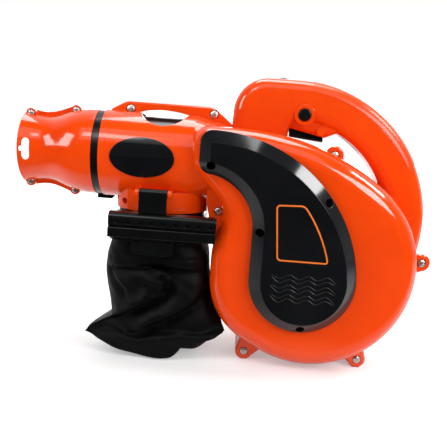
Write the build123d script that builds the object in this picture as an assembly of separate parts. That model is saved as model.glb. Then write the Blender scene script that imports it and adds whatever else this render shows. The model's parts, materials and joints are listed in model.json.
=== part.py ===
from build123d import *
import math
import os

# Hand-held leaf blower with a dust bag, in millimetres.
# X runs along the barrel with the nozzle at -X, Y runs away from the viewer, Z is up.
# The origin is on the floor, under the middle of the blower.

# Scroll housing
shell_wall = 2.6
scroll_x = 92.0
scroll_r = 107.0
scroll_floor_gap = 7.0
cutoff_x = 60.0
cutoff_z = 95.0
cutoff_r = 75.0
scroll_half = 55.0
scroll_round = 20.0
top_arc_r = 255.0
neck_rise = 36.0
neck_left = -42.0
neck_drop = 3.0
neck_round = 18.0
neck_low_round = 14.0
throat_round = 26.0
throat_angle = 152.0
throat_lean = 0.9
scroll_z = scroll_r + scroll_floor_gap

# Barrel, bridge and bag port
axis_z = 215.0
barrel_r = 46.0
barrel_front = -135.0
barrel_straight_end = -40.0
barrel_cone_end = 2.0
bridge_top = 55.0
bridge_half = 11.0
bridge_front = -130.0
bridge_slope = 16.0
bridge_rear = 3.0
bridge_rear_slope = 26.0
bridge_root = 18.0
bridge_dip = 2.0
window_left = -99.5
window_right = -48.5
window_sill = 44.7
window_crown = 48.0
window_depth = 32.5
port_x = -73.0
port_rx = 49.0
port_ry = 42.0
port_z = 159.5
port_ledge = 181.0
port_pit_x = -109.0
port_pit_z = 168.0
port_pit_r = 3.2
port_pit_depth = 9.0
port_pit_wall = 2.0

# Ears and their screws
ear_r = 9.5
ear_half = 24.0
ear_blend = 9.0
ear_edge = 1.5
ear_web = 28.5
foot_flat = 8.0
foot_pad = 3.0
foot_front_x = 27.6
foot_rear_x = 152.0
ear_back_angle = 4.5
ear_back_reach = 9.4
ear_top_x = 104.5
throat_ear_x = -10.7
throat_ear_z = 164.0
throat_half = 30.0
web_foot_angle = 172.0
web_root_angle = 165.0
bridge_screw_front = -109.5
bridge_screw_rear = -22.3
bridge_screw_drop = 7.5
screw_head_r = 4.0
screw_head_h = 2.4
screw_shank_r = 2.0
screw_length = 40.0
screw_clear = 0.2
counterbore_r = 4.7
counterbore_depth = 2.0
cross_width = 1.0
cross_length = 4.6
cross_depth = 1.2
overcut = 1.0
edge_reach = 0.01

# Handle
handle_x = 62.5
handle_lift = 10.5
handle_outer_r = 145.5
handle_grip = 42.0
handle_half = 21.0
handle_round = 13.0
handle_wall = 2.5
handle_front = -3.0
handle_front_round = 36.0
handle_end_angle = -18.0
handle_sink = 12.0
block_rear = 56.0
block_corner = 14.0
lip_front_drop = 7.0
lip_low_x = 93.8
lip_low_drop = 15.0
lip_rear_angle = 64.0
lip_half = 15.0
lip_edge = 3.0
strip_start = 28.0
strip_end = 84.0
strip_band = 11.0
strip_depth = 1.5
strip_proud = 0.3
strip_corner = 5.0
handle_screw_angles = (12.0, 70.0)
handle_screw_front = 18.0
handle_boss_r = 4.5

# Trigger, lock button and speed dial
fit_gap = 0.4
trigger_half = 6.5
trigger_front_depth = 9.4
trigger_rear_depth = 5.0
trigger_height = 12.0
trigger_front_gap = 1.2
trigger_pin_r = 2.0
trigger_pin_inset = 5.0
trigger_pin_rise = 6.0
pin_boss_r = 4.5
pin_clear = 0.06
lock_x = 70.2
lock_lift = 7.0
lock_r = 6.3
lock_proud = 3.2
lock_edge = 1.0
lock_ring_r = 10.5
lock_ring_h = 1.5
lock_flange_r = 8.0
lock_flange_h = 1.5
lock_flange_half = 2.6
lock_guide = 7.0
lock_travel = 3.0
dial_x = 46.9
dial_r = 13.0
dial_half = 4.0
dial_proud = 1.6
dial_pin_r = 1.5
dial_knurls = 30
dial_knurl_r = 0.7
switch_left = 60.0
switch_length = 34.0
switch_height = 18.0
switch_near = -5.0
switch_far = 7.5
switch_top_gap = 14.0
switch_foot = 10.0
bush_angle = 22.0
bush_r = 6.5
bush_bore = 3.8
bush_flange_r = 9.0
bush_flange_h = 3.0

# Motor and fan
fan_x = 79.0
fan_z = 104.0
shaft_r = 4.0
running_gap = 0.05
air_gap = 0.6
bearing_r = 11.0
bearing_width = 7.0
can_r = 39.0
can_wall = 2.5
can_flange_r = 43.0
can_flange_h = 3.0
can_front = 4.0
shaft_hole_r = 8.0
yoke = 7.0
coil_end = 5.0
coil_gap = 0.3
stator_bore = 22.5
stator_front = -6.0
stator_length = 30.0
pole_width = 26.0
armature_r = 21.0
armature_slots = 12
armature_slot_r = 1.4
winding_r = 18.0
winding_length = 5.0
commutator_r = 13.0
commutator_length = 12.0
commutator_gap = 1.0
brush_width = 7.0
brush_height = 6.0
brush_length = 10.0
holder_wall = 1.2
holder_back = 2.0
fan_r = 80.0
fan_start = 14.0
fan_plate = 2.5
fan_hub_r = 14.0
fan_blade_in = 24.0
fan_blade_height = 26.0
fan_blade_thick = 2.2
fan_blades = 9
fan_blade_sweep = 30.0
fan_blade_bow = 5.0
washer_r = 11.0
washer_h = 2.0
nut_width = 13.0
nut_h = 6.5
shaft_tail = 2.0

# Motor cover
cover_height = 17.0
cover_wall = 2.6
cover_lobe_r = 54.0
cover_sweep_r = 153.0
cover_sweep_angle = 5.3
cover_tail_run = 12.4
cover_tail_round = 12.2
cover_heel_round = 12.2
cover_throat_r = 54.0
cover_throat_z = 152.0
cover_throat_angle = 79.0
cover_bevel_in = 11.5
cover_bevel_deep = 11.0
cover_skirt = 30.0
cover_screw_inset = 5.2
cover_throat_inset = 7.2
cover_low_angle = -88.0
cover_high_angle = 38.0
cover_tail_drop = 1.0
cover_pillar_r = 5.4
cover_head_r = 3.6
cover_head_h = 2.2
cover_pocket_r = 4.2
cover_seat = 5.0
cover_shank_r = 1.7
cover_screw_length = 16.0
cover_boss_r = 4.5
cover_boss_depth = 14.0

# Intake grille on the far side
intake_r = 46.0
grille_r = 60.0
grille_height = 17.0
grille_wall = 3.0
grille_bars = 11
grille_bar_width = 2.4
grille_bar_depth = 5.0
grille_bar_inset = 4.0
grille_flange_r = 66.0
grille_flange_h = 3.0
grille_screw_r = 64.0
grille_screw_start = 45.0
grille_screw_count = 4
grille_spine = 3.6

# Duct tube, lock ring and nozzle
tube_r = 41.0
tube_wall = 2.2
tube_front = -158.0
tube_rear = -44.0
tube_land_width = 5.0
tube_port_inset = 16.0
ring_width = 6.9
ring_r = 44.6
ring_gap = 0.4
ring_tab_angle = -108.0
ring_tab_sweep = 22.0
ring_tab_length = 21.0
ring_tab_lead = 3.6
ring_tab_gap = 0.6
ring_tab_thick = 5.2
nozzle_length = 76.7
nozzle_joint_r = 45.2
nozzle_joint_length = 6.0
nozzle_waist_r = 34.0
nozzle_mouth_r = 38.0
mouth_flare = 0.35
nozzle_wall = 2.6
nozzle_waist_x = -196.0
flange_height = 4.2
flange_half = 3.4
nozzle_ear_r = 5.2
nozzle_ear_half = 11.0
nozzle_ear_front = -214.2
nozzle_ear_rear = -166.5
nozzle_ear_front_r = 35.8
nozzle_ear_rear_r = 42.0
nozzle_screw_head_r = 3.4
nozzle_screw_head_h = 2.0
nozzle_screw_shank_r = 1.5
nozzle_screw_length = 14.6
slot_x = -212.0
slot_height = 22.0
slot_width = 8.0
slot_nub_r = 2.6

# Badge
badge_x = -90.3
badge_rx = 32.5
badge_rz = 20.0
badge_thick = 1.4

# Dust bag, its frame and clip
bag_frame_x = -73.0
frame_half_x = 48.0
frame_half_y = 53.0
frame_corner = 12.0
frame_top = 156.0
frame_height = 25.0
frame_wall = 3.0
frame_deck = 3.0
spigot_gap = 0.4
spigot_height = 14.0
spigot_wall = 2.5
frame_holes = 9
frame_hole_first = -110.8
frame_hole_pitch = 11.75
frame_hole_r = 1.9
frame_hole_drop = 9.4
frame_hole_depth = 3.0
rail_left = -119.5
rail_right = -11.4
rail_low = 135.0
rail_high = 160.3
rail_proud = 7.0
rail_sink = 6.0
rail_band = 10.5
rail_lobe_inset = 1.0
rail_round = 6.0
band_round = 1.4
catch_half = 10.0
catch_gap = 1.0
catch_deep = 6.0
catch_rise = 5.7
tab_left = -96.0
tab_width = 43.0
tab_bottom = 118.0
tab_thick = 3.0
tab_slot_width = 6.0
tab_slot_height = 2.4
tab_round = 5.0
tab_slot_drop = 1.6
clip_x = -76.0
clip_half = 14.0
clip_pin_r = 1.6
clip_roll_r = 4.2
clip_plate = 2.6
clip_pin_z = 181.0
clip_pin_y = -52.0
clip_nose = 3.6
clip_hook = 2.4
clip_gap = 0.4
lug_width = 4.0
lug_gap = 0.4
lug_r = 3.6
lug_root = 12.0
bag_wall = 1.6
bag_floor = 0.4
bag_mid_z = 80.0
bag_low_z = 34.0
bag_foot = (-100.0, -24.0, -44.0, 40.0)
bag_low = (-121.0, -9.0, -54.0, 50.0)
bag_mid = (-125.0, -17.5, -53.0, 53.0)
bag_hem = ((-117.0, 50.0), (-143.5, 29.0), (-125.0, 18.5), (-105.0, 10.5), (-72.0, 3.5), (-52.0, 4.5),
           (-42.0, 14.0), (-26.0, 22.0), (5.0, 40.0), (-8.0, 52.0))
bag_hem_near = -47.0
bag_hem_far = -35.0
bag_hem_round = 3.0
bag_corner = 22.0
bag_tuck = 1.0


# Small helpers: every one takes sizes in millimetres
def slab(sketch, near, far):
    return extrude(Plane.XZ.offset(-near) * sketch, amount=far - near, dir=(0, 1, 0))


def rod_y(x, z, radius, near, far):
    return slab(Pos(x, z) * Circle(radius), near, far)


def rod_x(y, z, radius, left, right):
    return extrude(Plane.YZ.offset(left) * Pos(y, z) * Circle(radius), amount=right - left)


def block(x0, x1, y0, y1, z0, z1):
    return Pos((x0 + x1) / 2, (y0 + y1) / 2, (z0 + z1) / 2) * Box(x1 - x0, y1 - y0, z1 - z0)


def turned_on_motor(points):
    plane = Plane(origin=(fan_x, 0, fan_z), x_dir=(1, 0, 0), z_dir=(0, 0, 1))
    return revolve(plane * make_face(Polyline(*points, close=True)), Axis((fan_x, 0, fan_z), (0, 1, 0)))


def turned_on_barrel(points):
    lifted = [(x, axis_z + r) for x, r in points]
    return revolve(Plane.XZ * make_face(Polyline(*lifted, close=True)), Axis((0, 0, axis_z), (1, 0, 0)))


def polar(centre, radius, angle):
    turn = math.radians(angle)
    return (centre[0] + radius * math.cos(turn), centre[1] + radius * math.sin(turn))


def round_corner(sketch, point, radius):
    corner = min(sketch.vertices(), key=lambda v: math.dist((v.X, v.Y), point))
    return fillet(corner, radius)


def round_side(solid, level, radius):
    return fillet(solid.edges().filter_by_position(Axis.Y, level - edge_reach, level + edge_reach), radius)


def bevel_side(solid, level, size):
    return chamfer(solid.edges().filter_by_position(Axis.Y, level - edge_reach, level + edge_reach), size)


def halves(solid):
    near = split(solid, bisect_by=Plane.XZ, keep=Keep.TOP)
    far = split(solid, bisect_by=Plane.XZ, keep=Keep.BOTTOM)
    return near, far


def cross_recess(x, z, face_y, inward):
    far = face_y + inward * cross_depth
    bars = Rectangle(cross_length, cross_width) + Rectangle(cross_width, cross_length)
    return slab(Pos(x, z) * bars, min(face_y, far), max(face_y, far))


def screw(x, z, seat_y, inward, head_r, head_h, shank_r, length):
    top = seat_y - inward * head_h
    tip = seat_y + inward * length
    head = rod_y(x, z, head_r, min(seat_y, top), max(seat_y, top))
    shank = rod_y(x, z, shank_r, min(seat_y, tip), max(seat_y, tip))
    return head + shank - cross_recess(x, z, top, inward)


# Outline of the scroll with its neck to the barrel
scroll_centre = (scroll_x, scroll_z)
scroll_top = axis_z + neck_rise
join_sine = (top_arc_r - (scroll_top - scroll_z)) / (top_arc_r - scroll_r)
join_angle = math.degrees(math.asin(join_sine))
top_centre = polar(scroll_centre, top_arc_r - scroll_r, join_angle + 180)
neck_low = axis_z - neck_drop


def scroll_outline():
    join = polar(scroll_centre, scroll_r, join_angle)
    crown = (top_centre[0], scroll_top)
    middle = polar(top_centre, top_arc_r, (join_angle + 90) / 2)
    heel = (neck_left, neck_low)
    inside = (scroll_x, scroll_z)
    toe = (neck_left + (neck_low - scroll_z) * throat_lean, scroll_z)
    arc = ThreePointArc(join, middle, crown)
    rest = Polyline(crown, (neck_left, scroll_top), heel, toe, inside, join)
    rounds = Pos(*scroll_centre) * Circle(scroll_r) + Pos(cutoff_x, cutoff_z) * Circle(cutoff_r)
    outline = make_face([arc, rest]) + make_hull(rounds.edges())
    outline = round_corner(outline, (neck_left, scroll_top), neck_round)
    outline = round_corner(outline, heel, neck_low_round)
    return round_corner(outline, polar(scroll_centre, scroll_r, throat_angle), throat_round)


def scroll_body(inset):
    sketch = scroll_outline()
    if inset > 0:
        sketch = offset(sketch, -inset)
    half = scroll_half - inset
    solid = slab(sketch, -half, half)
    solid = round_side(solid, -half, scroll_round - inset)
    return round_side(solid, half, scroll_round - inset)


def barrel_body(inset):
    radius = barrel_r - inset
    left = barrel_front - inset
    cone_end_r = neck_rise - inset
    profile = [(left, 0), (left, radius), (barrel_straight_end, radius)]
    profile += [(barrel_cone_end, cone_end_r), (barrel_cone_end, 0)]
    return turned_on_barrel(profile)


def port_body(inset, top):
    ellipse = Pos(port_x, 0) * Ellipse(port_rx - inset, port_ry - inset)
    return extrude(Plane.XY.offset(port_z - inset) * ellipse, amount=top - port_z)


# Ears: screw positions on the scroll
def ear_positions():
    back = polar(scroll_centre, scroll_r + ear_back_reach, ear_back_angle)
    rise = math.sqrt(top_arc_r**2 - (ear_top_x - top_centre[0]) ** 2)
    top = (ear_top_x, top_centre[1] + rise)
    return [(foot_front_x, ear_r), (foot_rear_x, ear_r), back, top]


def ear_plate(point):
    angle = math.degrees(math.atan2(scroll_z - point[1], scroll_x - point[0]))
    root = polar(point, ear_web, angle)
    left = polar(point, ear_r, angle + 90)
    right = polar(point, ear_r, angle - 90)
    spread = ear_r + ear_blend
    root_left = polar(root, spread, angle + 90)
    root_right = polar(root, spread, angle - 90)
    web = make_face(Polyline(left, root_left, root_right, right, close=True))
    plate = slab(Pos(*point) * Circle(ear_r) + web, -ear_half, ear_half)
    return bevel_side(bevel_side(plate, -ear_half, ear_edge), ear_half, ear_edge)


def throat_web():
    centre = (throat_ear_x, throat_ear_z)
    foot = polar(scroll_centre, scroll_r, web_foot_angle)
    inner = polar(scroll_centre, scroll_r - ear_r * 2, web_root_angle)
    corner = (port_x + port_rx, throat_ear_z + ear_r)
    roof = (port_x + port_rx, axis_z - barrel_r / 2)
    web = make_face(Polyline(foot, inner, (inner[0], roof[1]), roof, corner, close=True))
    return slab(web + Pos(*centre) * Circle(ear_r), -throat_half, throat_half)


# Bridge handle on top of the barrel, with its lens-shaped window
def bridge_body():
    top = axis_z + bridge_top
    low = axis_z + barrel_r - bridge_root
    points = [(bridge_front, low), (bridge_front, axis_z + barrel_r), (bridge_front + bridge_slope, top)]
    points += [(bridge_rear - bridge_rear_slope, top), (bridge_rear, scroll_top - bridge_dip)]
    points.append((bridge_rear, low))
    outline = make_face(Polyline(*points, close=True))
    outline = round_corner(outline, points[2], bridge_slope)
    outline = round_corner(outline, points[3], bridge_slope)
    solid = slab(outline, -bridge_half, bridge_half)
    return bevel_side(bevel_side(solid, -bridge_half, ear_edge), bridge_half, ear_edge)


def window_cut():
    left = (window_left, axis_z + window_sill)
    right = (window_right, axis_z + window_sill)
    middle = (window_left + window_right) / 2
    crown = ThreePointArc(left, (middle, axis_z + window_crown), right)
    sill = ThreePointArc(right, (middle, axis_z + window_depth), left)
    return slab(make_face([crown, sill]), -scroll_half, scroll_half)


bridge_screw_z = axis_z + bridge_top - bridge_screw_drop
bridge_points = [(bridge_screw_front, bridge_screw_z), (bridge_screw_rear, bridge_screw_z)]

outer_body = scroll_body(0) + barrel_body(0) + port_body(0, port_ledge) + bridge_body() + throat_web()
for ear in ear_positions():
    outer_body += ear_plate(ear)
for x in (foot_front_x, foot_rear_x):
    outer_body += block(x - foot_flat / 2, x + foot_flat / 2, -ear_half + ear_edge, ear_half - ear_edge,
                        0, foot_pad)
inner_body = scroll_body(shell_wall) + barrel_body(shell_wall) + port_body(shell_wall, port_ledge)
housing = outer_body - inner_body - window_cut()

# Blind pit near the front end of the bag port
pit_y = -port_ry * math.sqrt(1 - ((port_pit_x - port_x) / port_rx) ** 2)
pit_end = pit_y + port_pit_depth
pit_boss = rod_y(port_pit_x, port_pit_z, port_pit_r + port_pit_wall, pit_y, pit_end)
housing += pit_boss & port_body(0, port_ledge)
housing -= rod_y(port_pit_x, port_pit_z, port_pit_r, -port_ry, pit_end - port_pit_wall)

# Openings for the motor and the intake, and bosses for the cover screws
near_face = -scroll_half
far_face = scroll_half
housing -= rod_y(fan_x, fan_z, can_r + screw_clear, near_face - overcut, near_face + shell_wall + overcut)
housing -= rod_y(fan_x, fan_z, intake_r, far_face - shell_wall - overcut, far_face + overcut)
fan_centre = (fan_x, fan_z)
sweep_centre = polar(fan_centre, cover_sweep_r - cover_lobe_r, cover_sweep_angle + 180)
cover_tail = sweep_centre[0] - cover_tail_run
throat_centre = (fan_x - cover_lobe_r - cover_throat_r, cover_throat_z)
cover_points = [
    polar(fan_centre, cover_lobe_r - cover_screw_inset, cover_low_angle),
    polar(sweep_centre, cover_sweep_r - cover_screw_inset, cover_high_angle),
    polar(throat_centre, cover_throat_r + cover_throat_inset, 0),
    (cover_tail + cover_tail_round, axis_z - cover_tail_drop),
]
grille_points = [polar(fan_centre, grille_screw_r, grille_screw_start + 360 / grille_screw_count * i)
                 for i in range(grille_screw_count)]
for x, z in cover_points:
    housing += rod_y(x, z, cover_boss_r, near_face + shell_wall, near_face + cover_boss_depth)
    housing -= rod_y(x, z, cover_shank_r, near_face - overcut, near_face + cover_boss_depth - overcut)
for x, z in grille_points:
    housing += rod_y(x, z, cover_boss_r, far_face - cover_boss_depth, far_face - shell_wall)
    housing -= rod_y(x, z, cover_shank_r, far_face - cover_boss_depth + overcut, far_face + overcut)


# Holes and counterbores of the housing screws
def drill(solid, points, half):
    for x, z in points:
        solid -= rod_y(x, z, screw_shank_r + screw_clear, -half, 0)
        solid -= rod_y(x, z, screw_shank_r, 0, screw_length - half + counterbore_depth + overcut)
        solid -= rod_y(x, z, counterbore_r, -half - overcut, -half + counterbore_depth)
    return solid


throat_points = [(throat_ear_x, throat_ear_z)]
housing = drill(housing, ear_positions(), ear_half)
housing = drill(housing, throat_points, throat_half)
bridge_screw_length = bridge_half * 2 - counterbore_depth * 2
for x, z in bridge_points:
    housing -= rod_y(x, z, screw_shank_r, -bridge_half, bridge_half - counterbore_depth)
    housing -= rod_y(x, z, counterbore_r, -bridge_half - overcut, -bridge_half + counterbore_depth)

# Lugs that carry the bag clip
for side in (-1, 1):
    lug_left = clip_x + side * (clip_half + lug_gap + lug_width / 2) - lug_width / 2
    lug = rod_x(clip_pin_y, clip_pin_z, lug_r, lug_left, lug_left + lug_width)
    lug += block(lug_left, lug_left + lug_width, clip_pin_y, -port_ry + lug_root,
                 clip_pin_z - lug_r, clip_pin_z + lug_r)
    lug -= inner_body
    housing += lug - rod_x(clip_pin_y, clip_pin_z, clip_pin_r, lug_left, lug_left + lug_width)

left_shell, right_shell = halves(housing)

housing_screws = []
for x, z in ear_positions():
    housing_screws.append(screw(x, z, -ear_half + counterbore_depth, 1, screw_head_r, screw_head_h,
                                screw_shank_r, screw_length))
for x, z in throat_points:
    housing_screws.append(screw(x, z, -throat_half + counterbore_depth, 1, screw_head_r, screw_head_h,
                                screw_shank_r, screw_length))
for x, z in bridge_points:
    housing_screws.append(screw(x, z, -bridge_half + counterbore_depth, 1, screw_head_r, screw_head_h,
                                screw_shank_r, bridge_screw_length))

# D handle: a round grip about one centre, running into a front block
handle_inner_r = handle_outer_r - handle_grip
handle_z = scroll_top + handle_lift - handle_inner_r
handle_centre = (handle_x, handle_z)
handle_top = handle_z + handle_outer_r
handle_root = scroll_top - handle_sink


def handle_outline(inset):
    outer_r = handle_outer_r - inset
    inner_r = handle_inner_r + inset
    top = handle_z + outer_r
    front_x = handle_front + inset
    rear_x = block_rear - inset
    arch = math.degrees(math.acos((rear_x - handle_x) / inner_r))
    arch_point = polar(handle_centre, inner_r, arch)
    outer = CenterArc(handle_centre, outer_r, handle_end_angle, 90 - handle_end_angle)
    inner = CenterArc(handle_centre, inner_r, handle_end_angle, arch - handle_end_angle)
    front = Polyline((handle_x, top), (front_x, top), (front_x, handle_root), (rear_x, handle_root),
                     arch_point)
    end_in = polar(handle_centre, inner_r, handle_end_angle)
    end_out = polar(handle_centre, outer_r, handle_end_angle)
    end = Line(end_in, end_out)
    outline = make_face([outer, front, inner, end])
    outline = round_corner(outline, (front_x, top), handle_front_round - inset)
    return round_corner(outline, arch_point, block_corner + inset)


def handle_body(inset):
    half = handle_half - inset
    solid = slab(handle_outline(inset), -half, half)
    rims = solid.edges().filter_by_position(Axis.Y, -half - edge_reach, -half + edge_reach)
    rims += solid.edges().filter_by_position(Axis.Y, half - edge_reach, half + edge_reach)
    root_line = handle_root + overcut
    long_rims = [rim for rim in rims if rim.geom_type != GeomType.LINE or rim.center().Z > root_line]
    return fillet(long_rims, handle_round - inset)


lip_top = handle_z + handle_inner_r
lip_front = (block_rear, lip_top - lip_front_drop)
lip_low = (lip_low_x, lip_top - lip_low_drop)
lip_rear = polar(handle_centre, handle_inner_r + handle_wall, lip_rear_angle)


def lip_body(inset):
    roof = lip_top + handle_wall * 2
    root = block_rear - handle_wall * 4
    face = make_face(Polyline(lip_front, lip_low, lip_rear, (lip_rear[0], roof), (root, roof),
                              (root, lip_front[1]), close=True))
    if inset > 0:
        face = offset(face, -inset, kind=Kind.INTERSECTION)
    half = lip_half - inset
    solid = slab(face, -half, half)
    return solid if inset > 0 else bevel_side(bevel_side(solid, -half, lip_edge), half, lip_edge)


def strip_region():
    inner = handle_outer_r - strip_band
    reach = handle_outer_r + strip_band
    sweep = strip_end - strip_start
    low_in = polar(handle_centre, inner, strip_start)
    high_in = polar(handle_centre, inner, strip_end)
    outline = make_face([CenterArc(handle_centre, inner, strip_start, sweep),
                         CenterArc(handle_centre, reach, strip_start, sweep),
                         Line(low_in, polar(handle_centre, reach, strip_start)),
                         Line(high_in, polar(handle_centre, reach, strip_end))])
    outline = round_corner(outline, low_in, strip_corner)
    outline = round_corner(outline, high_in, strip_corner)
    return slab(outline, -handle_half * 2, handle_half * 2)


grip_strip = (handle_body(-strip_proud) - handle_body(strip_depth)) & strip_region()

lock_z = lip_top + lock_lift
handle_skin = handle_body(0) + lip_body(0)
handle_skin += rod_y(lock_x, lock_z, lock_ring_r, -handle_half - lock_ring_h, -handle_half + handle_round)
handle_hollow = handle_body(handle_wall) + lip_body(handle_wall)
handle = handle_skin - handle_hollow - grip_strip

# Posts inside the handle for its screws and pins
dial_z = handle_top + dial_proud - dial_r
trigger_pin = (lip_low_x - trigger_pin_inset, lip_low[1] + trigger_pin_rise)
inner_half = handle_half - handle_wall
post_root = inner_half + handle_wall / 2
handle_mid_r = handle_outer_r - handle_grip / 2
handle_screw_points = [polar(handle_centre, handle_mid_r, angle) for angle in handle_screw_angles]
handle_screw_points.append((handle_screw_front, handle_top - handle_grip / 2))
for x, z in handle_screw_points:
    handle += rod_y(x, z, handle_boss_r, -post_root, post_root)
for side in (-1, 1):
    for (x, z), reach in ((trigger_pin, trigger_half), ((dial_x, dial_z), dial_half)):
        seat = side * (reach + fit_gap)
        root = side * post_root
        handle += rod_y(x, z, pin_boss_r, min(seat, root), max(seat, root))
handle += rod_y(lock_x, lock_z, lock_flange_r + fit_gap, -post_root, -handle_half + lock_guide)
handle -= outer_body

# Cuts for the trigger, the dial, the lock button, the pins, the screws and the cord bush
handle -= block(block_rear + fit_gap, lip_low_x + fit_gap, -trigger_half - fit_gap, trigger_half + fit_gap,
                lip_low[1] - overcut, lip_front[1] + handle_wall * 2)
dial_slot = math.sqrt(dial_r**2 - (dial_r - dial_proud - handle_wall) ** 2) + fit_gap * 2
handle -= block(dial_x - dial_slot, dial_x + dial_slot, -dial_half - fit_gap, dial_half + fit_gap,
                handle_top - handle_wall - overcut, handle_top + overcut)
lock_back = -handle_half + lock_guide + fit_gap
handle -= rod_y(lock_x, lock_z, lock_r + fit_gap, -handle_half - lock_ring_h - overcut,
                lock_back + lock_flange_h + lock_travel)
pin_reach = inner_half - overcut
handle -= rod_y(*trigger_pin, trigger_pin_r, -pin_reach, pin_reach)
handle -= rod_y(dial_x, dial_z, dial_pin_r, -pin_reach, pin_reach)
handle_seat = handle_half - counterbore_depth
handle_screw_length = handle_seat + inner_half - counterbore_depth
for x, z in handle_screw_points:
    handle -= rod_y(x, z, screw_shank_r, handle_seat - handle_screw_length, handle_half)
    handle -= rod_y(x, z, counterbore_r, handle_seat, handle_half + overcut)
bush_point = polar(handle_centre, handle_mid_r, bush_angle)
handle -= rod_y(*bush_point, bush_r, inner_half - overcut, handle_half + overcut)
handle_left, handle_right = halves(handle)
handle_screws = [screw(x, z, handle_seat, -1, screw_head_r, counterbore_depth, screw_shank_r,
                       handle_screw_length) for x, z in handle_screw_points]
cord_bush = rod_y(*bush_point, bush_r, inner_half, handle_half)
cord_bush += rod_y(*bush_point, bush_flange_r, handle_half, handle_half + bush_flange_h)
cord_bush -= rod_y(*bush_point, bush_bore, 0, scroll_half)

# Trigger on its cross pin
trigger_face = make_face(Polyline(
    (block_rear + trigger_front_gap, lip_front[1] - trigger_front_depth),
    (lip_low_x - fit_gap, lip_low[1] - trigger_rear_depth),
    (lip_low_x - fit_gap, trigger_pin[1] + pin_boss_r),
    (trigger_pin[0] - pin_boss_r, trigger_pin[1] + pin_boss_r),
    (block_rear + trigger_front_gap, lip_front[1] + trigger_height - trigger_front_depth),
    close=True))
trigger = slab(trigger_face, -trigger_half, trigger_half)
trigger = fillet(trigger.edges().filter_by_position(Axis.Z, 0, lip_front[1] - overcut), lip_edge / 2)
trigger -= rod_y(*trigger_pin, trigger_pin_r + pin_clear, -trigger_half - overcut, trigger_half + overcut)
trigger_cross_pin = rod_y(*trigger_pin, trigger_pin_r, -pin_reach, pin_reach)

lock_button = rod_y(lock_x, lock_z, lock_r, -handle_half - lock_proud, lock_back)
lock_button = round_side(lock_button, -handle_half - lock_proud, lock_edge)
lock_button += block(lock_x - lock_flange_r, lock_x + lock_flange_r, lock_back, lock_back + lock_flange_h,
                     lock_z - lock_flange_half, lock_z + lock_flange_half)

speed_dial = rod_y(dial_x, dial_z, dial_r, -dial_half, dial_half)
speed_dial -= rod_y(dial_x, dial_z, dial_pin_r + pin_clear, -dial_half - overcut, dial_half + overcut)
for i in range(dial_knurls):
    notch = polar((dial_x, dial_z), dial_r, 360 / dial_knurls * i)
    speed_dial -= rod_y(*notch, dial_knurl_r, -dial_half - overcut, dial_half + overcut)
dial_pin = rod_y(dial_x, dial_z, dial_pin_r, -pin_reach, pin_reach)

switch_top = handle_top - handle_wall - switch_top_gap
switch_module = block(switch_left, switch_left + switch_length, switch_near, switch_far,
                      switch_top - switch_height, switch_top)
switch_module += block(switch_left, switch_left + switch_length, switch_far, inner_half,
                       switch_top - switch_foot, switch_top)

# Motor: can in the near shell, with the fan on its front end
can_back = near_face - can_flange_h
can_bore = can_r - can_wall
motor_can = turned_on_motor([
    (can_bore, can_back), (can_flange_r, can_back), (can_flange_r, near_face), (can_r, near_face),
    (can_r, can_front), (bearing_r + can_wall, can_front),
    (bearing_r + can_wall, can_front + bearing_width),
    (bearing_r, can_front + bearing_width), (bearing_r, can_front), (shaft_hole_r, can_front),
    (shaft_hole_r, can_front - can_wall), (can_bore, can_front - can_wall)])
rear_seat = can_back - bearing_width
rear_bracket = turned_on_motor([
    (shaft_hole_r, can_back), (bearing_r, can_back), (bearing_r, rear_seat),
    (bearing_r + can_wall, rear_seat),
    (bearing_r + can_wall, can_back), (can_bore, can_back), (can_bore, can_back + can_flange_h),
    (shaft_hole_r, can_back + can_flange_h)])


def bearing(start):
    ring = rod_y(fan_x, fan_z, bearing_r, start, start + bearing_width)
    end = start + bearing_width + overcut
    return ring - rod_y(fan_x, fan_z, shaft_r + running_gap, start - overcut, end)


front_bearing = bearing(can_front)
rear_bearing = bearing(rear_seat)
stator_back = stator_front - stator_length
stator_ring = Circle(can_bore) - Circle(can_bore - yoke)
stator_poles = (Rectangle(pole_width, can_bore * 2) & Circle(can_bore - yoke / 2)) - Circle(stator_bore)
stator_core = slab(Pos(*fan_centre) * (stator_ring + stator_poles), stator_back, stator_front)
field_coils = []
for side in (-1, 1):
    inner_x = side * (pole_width / 2 + coil_gap)
    window = (Circle(can_bore - yoke - coil_gap) - Circle(stator_bore + coil_gap))
    half_plane = Pos(inner_x + side * can_bore / 2, 0) * Rectangle(can_bore, can_bore * 2)
    field_coils.append(slab(Pos(*fan_centre) * (window & half_plane), stator_back - coil_end,
                            stator_front + coil_end))

# Rotor
rotor_back = rear_seat - shaft_tail / 2
fan_end = fan_start + fan_blade_height
nut_y = fan_end + washer_h
shaft = rod_y(fan_x, fan_z, shaft_r, rotor_back, nut_y + nut_h + shaft_tail)
shaft_hole = rod_y(fan_x, fan_z, shaft_r, -scroll_half * 2, scroll_half * 2)
armature_core = rod_y(fan_x, fan_z, armature_r, stator_back, stator_front) - shaft_hole
for i in range(armature_slots):
    notch = polar(fan_centre, armature_r, 360 / armature_slots * i)
    armature_core -= rod_y(*notch, armature_slot_r, stator_back - overcut, stator_front + overcut)
winding_front = rod_y(fan_x, fan_z, winding_r, stator_front, stator_front + winding_length) - shaft_hole
winding_back = rod_y(fan_x, fan_z, winding_r, stator_back - winding_length, stator_back) - shaft_hole
commutator_end = stator_back - winding_length - commutator_gap
commutator = rod_y(fan_x, fan_z, commutator_r, commutator_end - commutator_length, commutator_end)
commutator -= shaft_hole
brush_y = commutator_end - commutator_length / 2
brush_in = commutator_r + air_gap
carbon_brushes = []
brush_holders = []
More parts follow.
